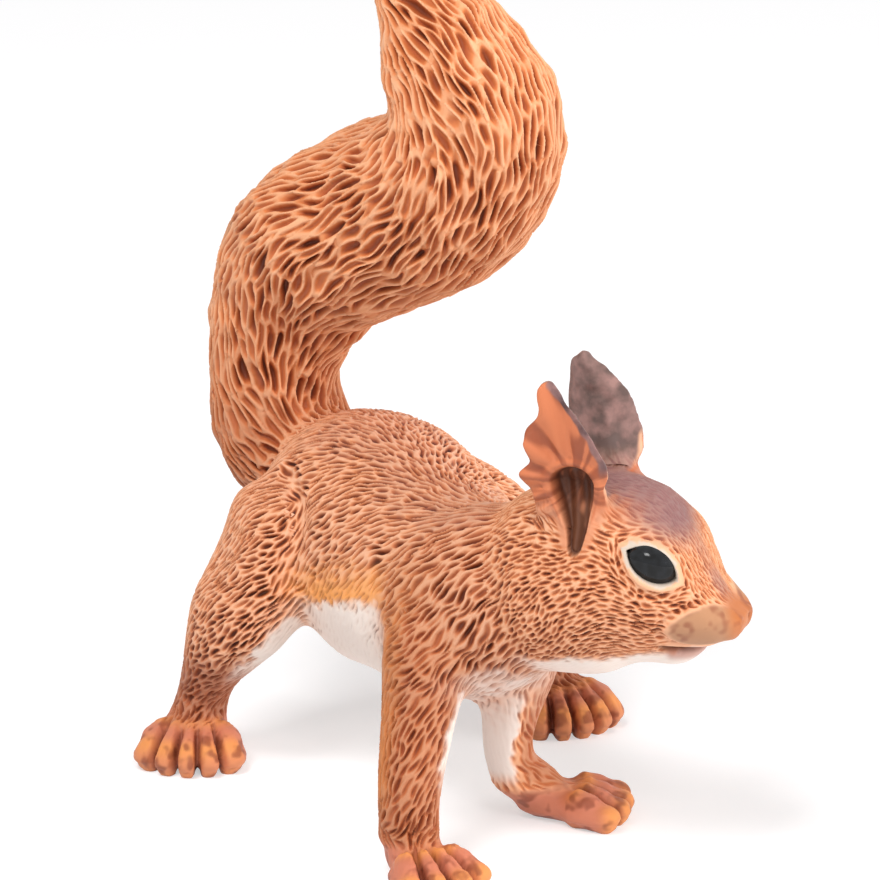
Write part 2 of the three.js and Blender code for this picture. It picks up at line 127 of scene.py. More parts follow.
# Thick root that joins each ear to the cheek: place ahead, out and up, and half sizes
EAR_ROOT_AHEAD = 4.3
EAR_ROOT_OUT = 3.55
EAR_ROOT_UP = 23.4
EAR_ROOT_SIZE = (2.3, 1.45, 2.5)

# Ears by height: how far out the flap stands, and how much further at its edges
EAR_LEVELS = [22.1, 24.5, 26.3, 28.0, 29.5, 31.0]
EAR_OUT = [3.2, 3.9, 4.3, 4.5, 4.5, 4.4]
EAR_EDGE_OUT = [0, 0.6, 0.8, 0.6, 0.3, 0.1]

# Ear hole by height: place ahead, half width, how far out its rim stands and its depth
HOLE_AHEAD = ([21.4, 22.9, 23.9, 25.7, 26.7], [4.3, 4.4, 4.3, 4.12, 4.08])
HOLE_HALF = ([21.5, 22.9, 23.9, 25.0, 25.7], [0.4, 0.66, 0.92, 1.26, 1.38])
HOLE_RIM_OUT = ([21.2, 22.5, 24.0, 25.5, 26.8], [4.95, 5.0, 5.0, 4.75, 4.75])
HOLE_DEEP = ([21.2, 22.5, 24.5, 25.6, 26.7], [0.5, 0.9, 1.4, 1.3, 0.7])
HOLE_DEEP_SHARE = {RIGHT: 1.0, LEFT: 0.6}
EAR_CUP = {RIGHT: 1.2, LEFT: 0.7}

# Coat of each piece: length of a pit along the hair, spacing across it, and depth
COATS = {"torso": (1.35, 0.36, 0.36), "head": (0.8, 0.28, 0.24), "right_ear": (2.0, 0.3, 0.06),
         "left_ear": (2.0, 0.3, 0.06), "tail": (2.6, 0.54, 0.56), "right_foreleg": (1.35, 0.38, 0.36),
         "left_foreleg": (1.5, 0.36, 0.16), "right_hind_leg": (1.1, 0.35, 0.34),
         "left_hind_leg": (1.1, 0.35, 0.34)}
SHOULDER_MORE = (0.35, 0.22, 0.2)

# Swellings and hollows of the real figure's surface: place, half width and height
SWELLS = [((-11.0, 8.5, 14.0), 2.2, -0.45), ((-8.5, 11.0, 17.6), 2.0, 0.7), ((-8.3, 6.8, 17.2), 1.8, 0.3),
          ((0.3, 6.6, 45.5), 3.0, 0.6), ((7.5, 3.2, 48.0), 3.2, -0.6), ((-0.2, 13.6, 25.8), 2.6, 0.75),
          ((3.5, 6.5, 30.5), 4.0, 0.35), ((8.0, 2.2, 36.4), 4.0, 0.3), ((-8.0, 17.5, 21.7), 4.0, -0.3),
          ((-0.65, 11.9, 40.4), 2.5, -0.35), ((-5.0, 3.0, 10.0), 3.0, 0.5),
          ((-7.6, -12.0, 11.0), 2.5, -0.3), ((4.3, 0.0, 20.5), 3.5, -0.35), ((-10.4, 5.0, 7.3), 1.8, -0.35)]

# Crease between the thigh and the flank on the right side, its shift on each side, depth and half width
THIGH_CREASE = [(-6.2, 8.6, 19.4), (-6.4, 7.4, 19.1), (-6.7, 5.4, 18.3), (-7.2, 4.2, 17.0),
                (-7.9, 3.8, 15.5), (-8.3, 3.6, 13.8)]
THIGH_SHIFT = {RIGHT: 0.0, LEFT: -0.6}
THIGH_CREASE_DEEP = 0.4
THIGH_CREASE_HALF = 0.6

# Paws: ankle, turn of the paw, length of the palm, half width, toes, length of a toe and the fan
PAWS = {"right_hind_leg": ((-11.03, 12.18), -28, 3.7, 2.25, 5, 2.4, 14),
        "left_hind_leg": ((12.17, 9.88), 6, 3.7, 2.25, 5, 2.4, 14),
        "right_foreleg": ((-6.43, -13.01), 6, 3.0, 2.0, 4, 3.0, 15),
        "left_foreleg": ((4.77, -7.11), 58, 3.0, 2.0, 4, 3.0, 15)}

# Pieces whose coat comes off the mould in several shells, with the places where the shells part:
# sideways for the torso, by height for the tail. The closing caps sink below the rims by these depths.
SHELLS = {"torso": ["torso_right", "torso_left"],
          "tail": ["tail_root", "tail_bow", "tail_bend", "tail_tip"]}
TORSO_PARTING = [0.0]
TAIL_PARTING = [27.0, 34.0, 41.5]
CAP_SINK = 0.6
HEAD_CAP_SINK = 2.2


def rise(low, high, x):
    """0 below low, 1 above high, with a soft step between; low may be the larger."""
    t = np.clip((x - low) / (high - low), 0.0, 1.0)
    return t * t * (3 - 2 * t)


def hump(x, middle, half):
    """1 at the middle, falling softly away on both sides."""
    return np.exp(-((x - middle) / half) ** 2)


def most(*fields):
    """The largest of several fields, place by place."""
    return np.maximum.reduce(fields)


def shift(ways, amounts):
    """Moves along one way, or along a way for each place."""
    return ways * amounts[:, None]


def unit(v):
    return v / np.maximum(np.linalg.norm(v, axis=-1, keepdims=True), 1e-9)


def across(v, normals):
    """The part of each direction that lies in the surface."""
    return unit(v - normals * (v * normals).sum(1, keepdims=True))


def mottle(points, size, seed):
    """Soft lumps between -1 and 1, about the given size in millimetres."""
    q = points / size + 1000.0
    cell = np.floor(q).astype(np.int64)
    f = q - cell
    f = f * f * (3 - 2 * f)
    total = np.zeros(len(points))
    for corner in np.ndindex(2, 2, 2):
        h = (cell + corner) @ np.array([73856093, 19349663, 83492791]) + seed * 982451653
        h = ((h ^ (h >> 13)) * 1274126177) & 0xFFFFFFFF
        h = ((h ^ (h >> 15)) * 668265263) & 0xFFFFFFFF
        weight = np.prod(np.where(corner, f, 1 - f), axis=1)
        total += weight * ((h >> 8 & 0xFFFF) / 32767.5 - 1)
    return total


def laid_line(rows, step=0.45):
    """A smooth line through the rows: places with half sizes, and the way the hair lies."""
    rows = np.array(rows)
    ends = np.vstack([2 * rows[0] - rows[1], rows, 2 * rows[-1] - rows[-2]])
    out = []
    for i in range(len(rows) - 1):
        a, b, c, d = ends[i:i + 4]
        t = np.linspace(0, 1, max(2, int(np.linalg.norm((c - b)[:3]) / step)), endpoint=False)[:, None]
        squared = (2 * a - 5 * b + 4 * c - d) * t ** 2
        cubed = (3 * b - a - 3 * c + d) * t ** 3
        out.append(0.5 * (2 * b + (c - a) * t + squared + cubed))
    line = np.vstack(out + [rows[-1:]])
    return line, unit(np.gradient(line[:, :3], axis=0))


def nearest_on(line, points):
    """For each point the number of the nearest place on the line."""
    places = line[:, :3]
    best = np.empty(len(points), int)
    for i in range(0, len(points), 40000):
        block = points[i:i + 40000]
        best[i:i + 40000] = ((places ** 2).sum(1) - 2 * block @ places.T).argmin(1)
    return best


def eased(values, edges, rounds, share):
    """Values evened out along the edges of the skin; share may differ from vertex to vertex."""
    values = values.copy()
    count = len(values)
    ends = np.concatenate([edges[:, 0], edges[:, 1]])
    others = np.concatenate([edges[:, 1], edges[:, 0]])
    valence = np.maximum(np.bincount(ends, minlength=count), 1)
    columns = values.reshape(count, -1)
    share = np.broadcast_to(share, count)
    for _ in range(rounds):
        for k in range(columns.shape[1]):
            mean = np.bincount(ends, weights=columns[others, k], minlength=count) / valence
            columns[:, k] += share * (mean - columns[:, k])
    return values


def eased_where(values, edges, mask, rounds):
    """Values evened out where the mask is above nought, and left alone elsewhere."""
    return eased(values, edges[(mask[edges] > 0).any(1)], rounds, 0.5 * mask)


def read(mesh):
    """Vertex places, normals and edges of a mesh."""
    mesh.update()
    places = np.empty(len(mesh.vertices) * 3)
    mesh.vertices.foreach_get("co", places)
    normals = np.empty(len(mesh.vertices) * 3)
    mesh.vertices.foreach_get("normal", normals)
    edges = np.empty(len(mesh.edges) * 2, np.int32)
    mesh.edges.foreach_get("vertices", edges)
    return places.reshape(-1, 3), normals.reshape(-1, 3), edges.reshape(-1, 2)


def write(mesh, places):
    mesh.vertices.foreach_set("co", np.ascontiguousarray(places, np.float32).ravel())
    mesh.update()


def merged_copy(name):
    """A copy of a solid with its corners joined, in millimetres."""
    part = bmesh.new()
    part.from_mesh(solids[name].data)
    bmesh.ops.remove_doubles(part, verts=part.verts, dist=1e-7)
    bmesh.ops.scale(part, vec=(1 / MM, 1 / MM, 1 / MM), verts=part.verts)
    part.normal_update()
    return part


def groups(items, beside):
    """The items in groups that hang together; beside gives the neighbours of an item."""
    left = set(items)
    found = []
    for start in items:
        if start in left:
            left.discard(start)
            group = [start]
            for item in group:
                for other in beside(item):
                    if other in left:
                        left.discard(other)
                        group.append(other)
            found.append(group)
    return found


def eye_axes(hand):
    """The ways that an eye faces, runs long and stands high."""
    faced = np.array(Matrix.Rotation(-hand * EYE_SPLAY, 3, "Z") @ Vector(LEFTWARD * hand))
    long_way = np.array(Matrix.Rotation(EYE_SLOPE, 3, Vector(LEFTWARD)) @ Vector(AHEAD))
    long_way = unit(long_way - faced * (long_way @ faced))
    return faced, long_way, np.cross(faced, long_way)


# The moulded skin: the solids swell to close the fit between them and become one even skin
whole = bmesh.new()
trees = {}
for name in SKIN_PIECES + EYE_PIECES:
    part = merged_copy(name)
    if name in SKIN_PIECES:
        trees[name] = BVHTree.FromBMesh(part)
    for v in part.verts:
        v.co += v.normal * SEAM_FILL
    swollen = bpy.data.meshes.new("swollen_" + name)
    part.to_mesh(swollen)
    part.free()
    whole.from_mesh(swollen)
    bpy.data.meshes.remove(swollen)
for hand in (RIGHT, LEFT):
    out_and_up = LEFTWARD * hand * EAR_ROOT_OUT + UP * (EAR_ROOT_UP - EAR_LOWER[hand])
    root = HEAD_PIVOT + AHEAD * EAR_ROOT_AHEAD + out_and_up
    turned = Matrix((AHEAD, LEFTWARD, UP)).transposed().to_4x4()
    sizes = Matrix.Diagonal((*EAR_ROOT_SIZE, 1.0))
    bmesh.ops.create_uvsphere(whole, u_segments=32, v_segments=24, radius=1,
                              matrix=Matrix.Translation(root) @ turned @ sizes)
skin = bpy.data.objects.new("skin", bpy.data.meshes.new("skin"))
whole.to_mesh(skin.data)
whole.free()
scene.collection.objects.link(skin)
bpy.context.view_layer.objects.active = skin
skin.select_set(True)
even = skin.modifiers.new("even", "REMESH")
even.mode = "VOXEL"
even.voxel_size = SKIN_GRAIN
bpy.ops.object.modifier_apply(modifier=even.name)

# Only the outer skin is kept
body = bmesh.new()
body.from_mesh(skin.data)
islands = groups(list(body.verts), lambda v: [e.other_vert(v) for e in v.link_edges])
outer = set(max(islands, key=len))
bmesh.ops.delete(body, geom=[v for v in body.verts if v not in outer], context="VERTS")
body.to_mesh(skin.data)
body.free()

# Distance of each place to every solid, and from it the piece that the place belongs to. The voxels
# are smoothed out, but less on the tail, and hardly on the ear flaps and the paws.
SKIN_SINK = 0.1
SMOOTH_ROUNDS = 45
EAR_SMOOTH = 0.08
EAR_FOOT_SMOOTH = 0.85
EAR_FOOT = (25.8, 23.8)
PAW_KEPT = 0.9
PAW_TOP = (3.6, 2.4)
TAIL_SMOOTH = 0.4
places, normals, edges = read(skin.data)
reach = np.array([[trees[name].find_nearest(Vector(p))[3] for name in SKIN_PIECES] for p in places])
reach = eased(reach, edges, 8, 0.5)
owner = reach.argmin(1)
on_ear = np.isin(owner, [SKIN_PIECES.index(name) for name in EARS])
ear_smooth = EAR_SMOOTH + EAR_FOOT_SMOOTH * rise(*EAR_FOOT, places[:, 2])
smooth = np.where(on_ear, ear_smooth, 1.0) * (1 - PAW_KEPT * rise(*PAW_TOP, places[:, 2]))
smooth = np.where(owner == SKIN_PIECES.index("tail"), TAIL_SMOOTH, smooth)
places -= normals * SKIN_SINK
places = eased(places, edges, SMOOTH_ROUNDS, 0.5 * smooth)
places = eased(places, edges, 3, 0.4)
write(skin.data, places)

# Each face takes the piece of its middle, and its shell; small scraps go to the shell round them
shells = [(name, shell) for name in SKIN_PIECES for shell in SHELLS.get(name, [name])]
shell_names = [shell for name, shell in shells]
body = bmesh.new()
body.from_mesh(skin.data)
body.verts.ensure_lookup_table()
body.faces.ensure_lookup_table()
for f in body.faces:
    name = SKIN_PIECES[int(reach[[v.index for v in f.verts]].sum(0).argmin())]
    part = 0
    if name == "torso":
        part = np.searchsorted(TORSO_PARTING, f.calc_center_median().x)
    if name == "tail":
        part = np.searchsorted(TAIL_PARTING, f.calc_center_median().z)
    f.material_index = shell_names.index(SHELLS.get(name, [name])[part])


def faces_beside(face):
    return [g for e in face.edges for g in e.link_faces]


for _ in range(3):
    patches = groups(list(body.faces),
                     lambda f: [g for g in faces_beside(f) if g.material_index == f.material_index])
    largest = {}
    for patch in patches:
        own = patch[0].material_index
        largest[own] = max(largest.get(own, 0), len(patch))
    for patch in patches:
        own = patch[0].material_index
        if len(patch) < largest[own]:
            rim = [g.material_index for f in patch for g in faces_beside(f) if g.material_index != own]
            if rim:
                for f in patch:
                    f.material_index = max(set(rim), key=rim.count)

# Finer quads, three to a side, rounded without shrinking
ROUNDING = (0.5, -0.52)
bmesh.ops.subdivide_edges(body, edges=body.edges[:], cuts=2, use_grid_fill=True)
body.to_mesh(skin.data)
body.free()
places, normals, edges = read(skin.data)
for share in ROUNDING * 5:
    places = eased(places, edges, 1, share)
write(skin.data, places)
places, normals, edges = read(skin.data)
count = len(places)

# Knots where the even skin was folded on itself: places too close together, or turned from the rest
KNOT_CLOSE = 0.035
KNOT_TURNED = 0.35
edge_long = np.linalg.norm(places[edges[:, 0]] - places[edges[:, 1]], axis=1)
closeness = sum(np.bincount(edges[:, k], weights=edge_long, minlength=count) for k in (0, 1))
closeness /= np.bincount(edges.ravel(), minlength=count)
agreement = (normals * unit(eased(normals, edges, 10, 0.5))).sum(1)
knotted = (closeness < KNOT_CLOSE) | (agreement < KNOT_TURNED)
knot = rise(0.0, 0.1, eased(knotted.astype(float), edges, 8, 0.5))

# How near each place is to every piece, as shares that pass softly from piece to piece
BLEND = 0.7
lines = {name: laid_line(rows) for name, rows in COAT_LINES.items()}
index = {}
apart = np.empty((count, len(SKIN_PIECES)))
for k, name in enumerate(SKIN_PIECES):
    line, along = lines[name]
    at = nearest_on(line, places)
    index[name] = at
    middle = line[at]
    t = along[at]
    wide_way = AHEAD if name in EARS else np.array([1.0, 0, 0])
    wide_way = unit(wide_way - t * (t @ wide_way)[:, None])
    deep_way = np.cross(t, wide_way)
    q = places - middle[:, :3]
    a = (q * wide_way).sum(1) / middle[:, 3]
    b = (q * deep_way).sum(1) / middle[:, 4]
    c = np.abs((q * t).sum(1))
    apart[:, k] = (np.hypot(a, b) - 1) * np.minimum(middle[:, 3], middle[:, 4]) + c
    if name == "tail":
        tail_side, tail_way, tail_share = a, wide_way, at / len(line)
    if name == "torso":
        torso_share = at / len(line)
apart = np.clip(apart, -0.6, None)
part_of = np.exp(-(apart - apart.min(1, keepdims=True)) / BLEND)
part_of /= part_of.sum(1, keepdims=True)
mine = {name: part_of[:, k] for k, name in enumerate(SKIN_PIECES)}

# Places on the head: ahead of the neck, out to the side and up
q = places - HEAD_PIVOT
head_s = q @ AHEAD
head_l = q @ LEFTWARD
head_z = places[:, 2]
head_o = np.abs(head_l)

# The way the hair lies: along each piece, spread on the tail, down on the flanks and the cheeks, and
# back on the legs, with a little wandering
TAIL_SPREAD = 0.55
FLANK_DOWN = 0.7
RUMP_DOWN_MORE = 1.1
CHEEK_DOWN = 0.75
LEG_OUT = 0.45
LEG_BACK = 0.2
THIGH_BACK = 0.9
WANDER = 0.3
flow = np.zeros((count, 3))
for k, name in enumerate(SKIN_PIECES):
    way = lines[name][1][index[name]].copy()
    if name == "tail":
        way += shift(tail_way, TAIL_SPREAD * tail_side)
    if name == "torso":
        way -= shift(UP, FLANK_DOWN + RUMP_DOWN_MORE * torso_share)
    if name == "head":
        way -= shift(UP, CHEEK_DOWN * rise(7.5, 3.0, head_s) * rise(21, 17, head_z))
    if name in LEGS:
        hand = RIGHT if name.startswith("right") else LEFT
        way += np.array([LEG_OUT * hand, LEG_BACK, 0])
        way += shift(np.array([0, THIGH_BACK, 0]), rise(8, 14, head_z))
    flow += way * part_of[:, k:k + 1]
flow = across(flow, normals)
wander = 0.5 * mottle(places, 2.6, 3) + 0.35 * mottle(places, 1.0, 4)
flow = unit(flow + np.cross(normals, flow) * wander[:, None] * WANDER)

# Shaping with the tools of a sculptor: moves along the surface's own directions. The eyes come first:
# a raised lid with a furrow round it, the sunk opening, and a ragged pale ring.
LID_OUTER = (0.5, 0.28)
LID_INNER = (-0.1, 0.12)
LID_HIGH = 0.14
LID_FURROW_AT = 0.66
LID_FURROW_HALF = 0.13
LID_FURROW = 0.08
EYE_EDGE = (0.04, -0.2)
EYE_SUNK = 0.95
RING_LEAST = 0.09
RING_MORE_ABOVE = 0.12
RING_MORE_BEHIND = 0.22
move = np.zeros((count, 3))
bare, eye_ring, eye_deep = np.zeros((3, count))
for hand, middle in EYES.values():
    faced, long_way, high_way = eye_axes(hand)
    high_way = high_way * np.sign(high_way[2])
    q = places - np.array(middle)
    u = q @ long_way
    v = q @ high_way
    near = rise(-2.2, -1.0, q @ faced)
    arch = np.abs(v) + LIDS_ROUND - LIDS_HIGH
    lids = np.hypot(u, arch) - LIDS_ROUND
    lid = rise(*LID_OUTER, lids) * rise(*LID_INNER, lids)
    sunk = rise(*EYE_EDGE, lids)
    furrow = hump(lids, LID_FURROW_AT, LID_FURROW_HALF)
    move += shift(faced, near * (LID_HIGH * lid - EYE_SUNK * sunk - LID_FURROW * furrow))
    behind = np.clip(-u / LIDS_LONG, 0, 1) ** 2
    ring_wide = RING_LEAST + RING_MORE_ABOVE * np.clip(v / LIDS_HIGH, 0, 1) + RING_MORE_BEHIND * behind
    ragged = lids - ring_wide + 0.09 * mottle(places, 0.3, 11) + 0.06 * mottle(places, 0.14, 12)
    eye_ring = most(eye_ring, near * rise(0.05, -0.05, ragged))
    eye_deep = most(eye_deep, near * sunk)
    bare = most(bare, near * rise(0.5, 0.3, lids))

    # Hair lies round the eye
    round_way = shift(high_way, np.sign(v) * u) - shift(long_way, arch)
    round_eye = (near * rise(1.8, 0.6, lids))[:, None]
    flow = flow * (1 - round_eye) + unit(round_way) * round_eye
flow = across(flow, normals)

# Muzzle pads with a ridge above them, a flattened bridge, the mouth slit, the nose and the nostrils
MUZZLE_STARTS = (7.5, 8.5)
PAD_AHEAD = 12.0125
PAD_UP = 16.85
PAD_LEAN = 0.25
PAD_LONG = 2.1
PAD_HIGH = 1.3
PAD_OUT = (0.4, 1.2)
PAD_FACING = (0.9, 0.55)
PAD_FULL = 0.42
PAD_RIDGE = 0.12
PAD_FURROW = 0.14
BRIDGE_CUT = ([8.3, 9.2, 10.0, 12.0, 13.0, 14.0], [0, 0.3, 0.58, 0.64, 0.6, 0.5])
MOUTH_UP = 15.0
MOUTH_AHEAD = 10.0
MOUTH_SLOPE = 0.2
MOUTH_HALF = 0.19
MOUTH_DEEP = 0.6
NOSE_STARTS = (12.7, 13.6)
NOSE_DROP = 0.3
NOSTRIL_DEEP = 0.35
pad_ahead = (head_s - PAD_AHEAD - PAD_LEAN * (head_z - PAD_UP)) / PAD_LONG
pad = np.hypot(pad_ahead, (head_z - PAD_UP) / PAD_HIGH)
pad_side = rise(*MUZZLE_STARTS, head_s) * rise(*PAD_OUT, head_o) * rise(*PAD_FACING, normals[:, 2])
pad_in = pad_side * rise(1.1, 0.85, pad)
pad_ridge = pad_side * hump(pad, 1.03, 0.13) * rise(16.2, 17.2, head_z)
pad_furrow = pad_side * hump(pad, 1.2, 0.1)
pad_full = pad_side * np.sqrt(np.clip(1.1 - pad, 0, 1))
move += shift(normals, PAD_FULL * pad_full + PAD_RIDGE * pad_ridge - PAD_FURROW * pad_furrow)
bridge = np.interp(head_s, *BRIDGE_CUT)
bridge *= rise(0.0, 0.5, normals[:, 2]) * rise(3.4, 1.4, head_o) * rise(16.5, 17.5, head_z)
move -= shift(normals, bridge)
slit_z = MOUTH_UP - MOUTH_SLOPE * (head_s - MOUTH_AHEAD)
slit = hump(head_z, slit_z, MOUTH_HALF) * rise(9.0, 9.6, head_s)
move -= shift(normals, MOUTH_DEEP * slit)
lip = rise(slit_z - 1.2, slit_z - 0.4, head_z) * rise(slit_z, slit_z - 0.1, head_z)
lip *= rise(9.2, 9.8, head_s)
nose = rise(*NOSE_STARTS, head_s)
move -= shift(UP, NOSE_DROP * nose)
nostril = hump(head_s, 13.45, 0.35) * hump(head_o, 0.75, 0.22) * hump(head_z, 16.9, 0.2)
move -= shift(normals, NOSTRIL_DEEP * nostril)
chin = rise(9.0, 9.8, head_s) * rise(16.0, 15.4, head_z)
bare = most(bare, pad_side * rise(1.25, 1.0, pad), nose, chin)

# Ears: scalloped rear edge with folds that fan out from the hole, and the hole itself
EAR_SPREAD = 0.25
EAR_HOLLOW = 0.35
EAR_BACK_LUMPS = 0.13
FAN_UP = 25.6
FAN_AHEAD = 4.4
FOLD_FIRST = 8
FOLD_STEP = 29
FOLD_HIGH = 0.2
STREAK_HIGH = 0.08
FOLD_EASING = 16
HOLE_TOP = 25.7
HOLE_TOP_HIGH = 1.05
HOLE_FOOT = 21.7
HOLE_FOOT_HIGH = 0.5
HOLE_RIM_HIGH = 0.15
HOLE_FOLDS = 0.14
slate, ear_hole_and_mouth_shade, ear_glow, ear_inner, stain_and_fold_shade = np.zeros((5, count))
calm = knot.copy()
for name, hand in EARS.items():
    s = head_s
    o = head_l * hand
    z = head_z + EAR_LOWER[hand]
    out = LEFTWARD * hand
    flap = (o > 2.0) * (s > -0.6) * (s < 8) * most(mine[name], rise(25.2, 26.2, z)) * (1 - mine["tail"])
    flap = eased(flap * rise(22.5, 24.5, z), edges, 12, 0.5)
    facing = normals @ LEFTWARD * hand
    face_out = rise(-0.1, 0.4, facing)

    # The flap is trimmed to the outline of the real ear, thinned and hollowed
    levels = np.arange(head_z[flap > 0.5].min(), head_z[flap > 0.5].max(), 0.2)
    spans = [s[(flap > 0.5) & (np.abs(head_z - level) < 0.2)] for level in levels]
    rear_was = np.interp(head_z, levels, [span.min() for span in spans])
    front_was = np.interp(head_z, levels, [span.max() for span in spans])
    rear, front = (np.interp(head_z, *np.array(edge).T) for edge in EAR_EDGES[name])
    r = np.clip((s - rear_was) / np.maximum(front_was - rear_was, 0.2), 0, 1)
    trim = flap * rise(23.6, 25.4, z)
    move += shift(AHEAD, trim * (rear + r * (front - rear) - s))
    to_edge = (2 * r - 1) ** 2
    out_mid = np.interp(z, EAR_LEVELS, EAR_OUT)
    out_mid += to_edge * np.interp(z, EAR_LEVELS, EAR_EDGE_OUT)
    hollow = EAR_HOLLOW * (1 - to_edge) * rise(25, 27, z)
    move += shift(out, trim * (EAR_SPREAD * (out_mid - o) - hollow))

    # Streaks and shallow folds that fan out from the hole to the scallops of the rear edge
    s = rear + r * (front - rear)
    fan = np.degrees(np.arctan2(z - FAN_UP, FAN_AHEAD - s))
    radius = np.hypot(z - FAN_UP, FAN_AHEAD - s)
    fold = np.cos(np.radians((fan - FOLD_FIRST) / FOLD_STEP * 360))
    fold *= rise(1.6, 2.6, radius) * rise(90, 68, fan)
    streak = mottle(np.stack([fan / 7, radius / 2.2, fan * 0], 1), 1.0, 16)
    move += shift(out, flap * face_out * (FOLD_HIGH * fold + STREAK_HIGH * streak))
    move += shift(normals, flap * (1 - face_out) * EAR_BACK_LUMPS * mottle(places, 0.6, 17))
    move = eased_where(move, edges, flap, FOLD_EASING)

    # The hole: a drop that runs down to the cheek, sunk from a smooth collar
    s = head_s + move @ AHEAD
    hole_mid = np.interp(z, *HOLE_AHEAD)
    past_ends = np.maximum(z - HOLE_TOP, 0) / HOLE_TOP_HIGH + np.maximum(HOLE_FOOT - z, 0) / HOLE_FOOT_HIGH
    inside = np.hypot((s - hole_mid) / np.interp(z, *HOLE_HALF), past_ends)
    ear_front = rise(-0.3, 0.1, facing) * (o > 2.2) * rise(1.2, 2.2, head_s) * rise(7.4, 6.6, head_s)
    hole = rise(1.05, 0.8, inside) * ear_front
    rim = hump(inside, 1.25, 0.2) * ear_front * rise(22.0, 24.0, z)
    round_hole = rise(2.4, 1.5, inside) * ear_front * rise(21.0, 22.0, z)
    now_out = o + (move * LEFTWARD * hand).sum(1)
    folds = HOLE_FOLDS * np.cos((s - hole_mid) * 6.0 + 0.6) * rise(0.9, 0.5, inside)
    hole_floor = np.interp(z, *HOLE_RIM_OUT) - np.interp(z, *HOLE_DEEP) * HOLE_DEEP_SHARE[hand] + folds
    move += shift(out, (1 - hole) * HOLE_RIM_HIGH * rim + hole * (hole_floor - now_out))

    # The root of the flap is thick enough for the hole, and its foot runs softly into the crown
    cup = hump(head_s, 4.2, 1.5) * hump(z, 25.0, 1.6) * flap * rise(0.1, -0.5, facing)
    move -= shift(out, cup * EAR_CUP[hand])
    ear_foot = hump(head_s, 4.6, 1.7) * hump(z, 24.7, 1.0) * hump(o, 2.9, 1.1)
    calm = most(calm, ear_foot * rise(0.3, -0.1, facing))

    # Paint of the ear: dark hole, glowing inside with brown streaks that darken in the folds' valleys as
    # painted shade, slate back and front edge
    patchy = 1 - 0.5 * rise(0.3, 0.8, mottle(places * [1, 1, 0.35], 0.35, 18))
    ear_hole_and_mouth_shade = most(ear_hole_and_mouth_shade, hole * patchy)
    ear_glow = most(ear_glow, flap * face_out, rim, 0.6 * round_hole)
    # Brown streaks, with painted shade in the valleys of the folds
    stain_and_fold_shade = most(stain_and_fold_shade, flap * face_out * rise(-0.15, 0.55, streak - 0.6 * fold))
    from_front = front - s
    strip = rise(0.62, 0.4, from_front + 0.15 * mottle(places * [1, 1, 0.5], 0.5, 15))
    strip *= flap * rise(26.2, 27.2, z)
    back_face = np.sqrt(flap) * (1 - face_out) * rise(23.4, 24.6, z)
    back_face *= rise(0.05, 0.25, from_front + rise(26.5, 28.0, z))
    slate = most(slate, strip, back_face)
    ear_inner = most(ear_inner, flap * (1 - face_out))
    bare = most(bare, flap, hole, 0.9 * round_hole)

# Paws are bare of hair
HIND_PAW_TOP = 2.7
FORE_PAW_TOP = 2.0
paws = np.zeros(count)
for name in LEGS:
    top = HIND_PAW_TOP if name.endswith("hind_leg") else FORE_PAW_TOP
    paws = most(paws, mine[name] * rise(top + 0.7, top - 0.2, head_z))
bare = most(bare, 0.9 * paws)

# Toes: rounded and humped at the knuckles, with a deep groove between each two and a line at the nail
TOE_FULL = 0.22
TOE_KNUCKLE = 0.2
TOE_GROOVE = 0.5
NAIL_LINE = 0.08
TOE_TUCK = 0.5
toe_groove_shade, knuckle_highlight = np.zeros((2, count))
for ankle, turn, palm, half_wide, toes, toe_long, fan in PAWS.values():
    front = np.array([math.sin(math.radians(turn)), -math.cos(math.radians(turn))])
    beside = np.array([-front[1], front[0]])
    gaps = []
    bumps, onward = np.zeros((2, count))
    for k in range(toes):
        place = k - (toes - 1) / 2
        way = math.radians(turn + place * fan)
        way = np.array([math.sin(way), -math.cos(way)])
        root = np.array(ankle) + front * palm * (5 / 6 - 0.05 * place ** 2)
        root = root + beside * place * 1.7 * half_wide / toes
        q = places[:, :2] - root
        ahead = q @ way
        along_toe = np.clip(ahead, -1.6, 0.95 * toe_long)
        gap = np.linalg.norm(q - along_toe[:, None] * way, axis=1)
        gaps.append(gap)
        onward = most(onward, rise(-0.6, 0.7, ahead) * rise(1.6, 1.2, gap))
        knuckles = hump(ahead, 0.15 * toe_long, 0.55) + hump(ahead, 0.95 * toe_long, 0.5)
        bumps = most(bumps, knuckles * rise(0.9, 0.2, gap))
    first, second = np.partition(np.array(gaps), 1, axis=0)[:2]
    on_toe = second - first
    from_palm = np.linalg.norm(places[:, :2] - np.array(ankle) - front * 2, axis=1)
    paw = rise(3.4, 2.6, head_z) * rise(6.5, 5.5, from_palm)
    notch = paw * onward * rise(0.5, 0.05, on_toe) * rise(3.0, 2.0, head_z)
    toe_groove_shade = most(toe_groove_shade, notch)
    # Painted highlight: the humps of the knuckles take a lighter orange paint
    knuckle_highlight = most(knuckle_highlight, paw * np.clip(bumps, 0, 1))
    nail = hump(head_z, 0.6, 0.12) * onward * rise(0.3, 0.6, on_toe)
    full = TOE_FULL * onward * rise(0.2, 0.9, on_toe)
    move += shift(normals, paw * (full + TOE_KNUCKLE * bumps - NAIL_LINE * nail))
    joints = 0.18 * hump(head_z, 2.1, 0.45) + 0.16 * hump(head_z, 0.95, 0.4)
    move += shift(normals, paw * onward * rise(0.2, 0.8, on_toe) * joints - TOE_GROOVE * notch)
    move -= shift(normals * [1, 1, 0], TOE_TUCK * paw * rise(0.9, 0.0, head_z) ** 2)

# Tufts: the tail's outline is uneven, and the body's a little
TUFTS = 0.5
BODY_LUMPS = 0.1
tufts = mine["tail"] * rise(0.02, 0.15, tail_share)
lump = 0.5 * mottle(places * [1, 1, 0.6], 3.4, 21) + 0.35 * mottle(places, 1.5, 22)
move += shift(normals, tufts * TUFTS * lump)
move += shift(normals, mine["torso"] * BODY_LUMPS * mottle(places, 2.2, 23))

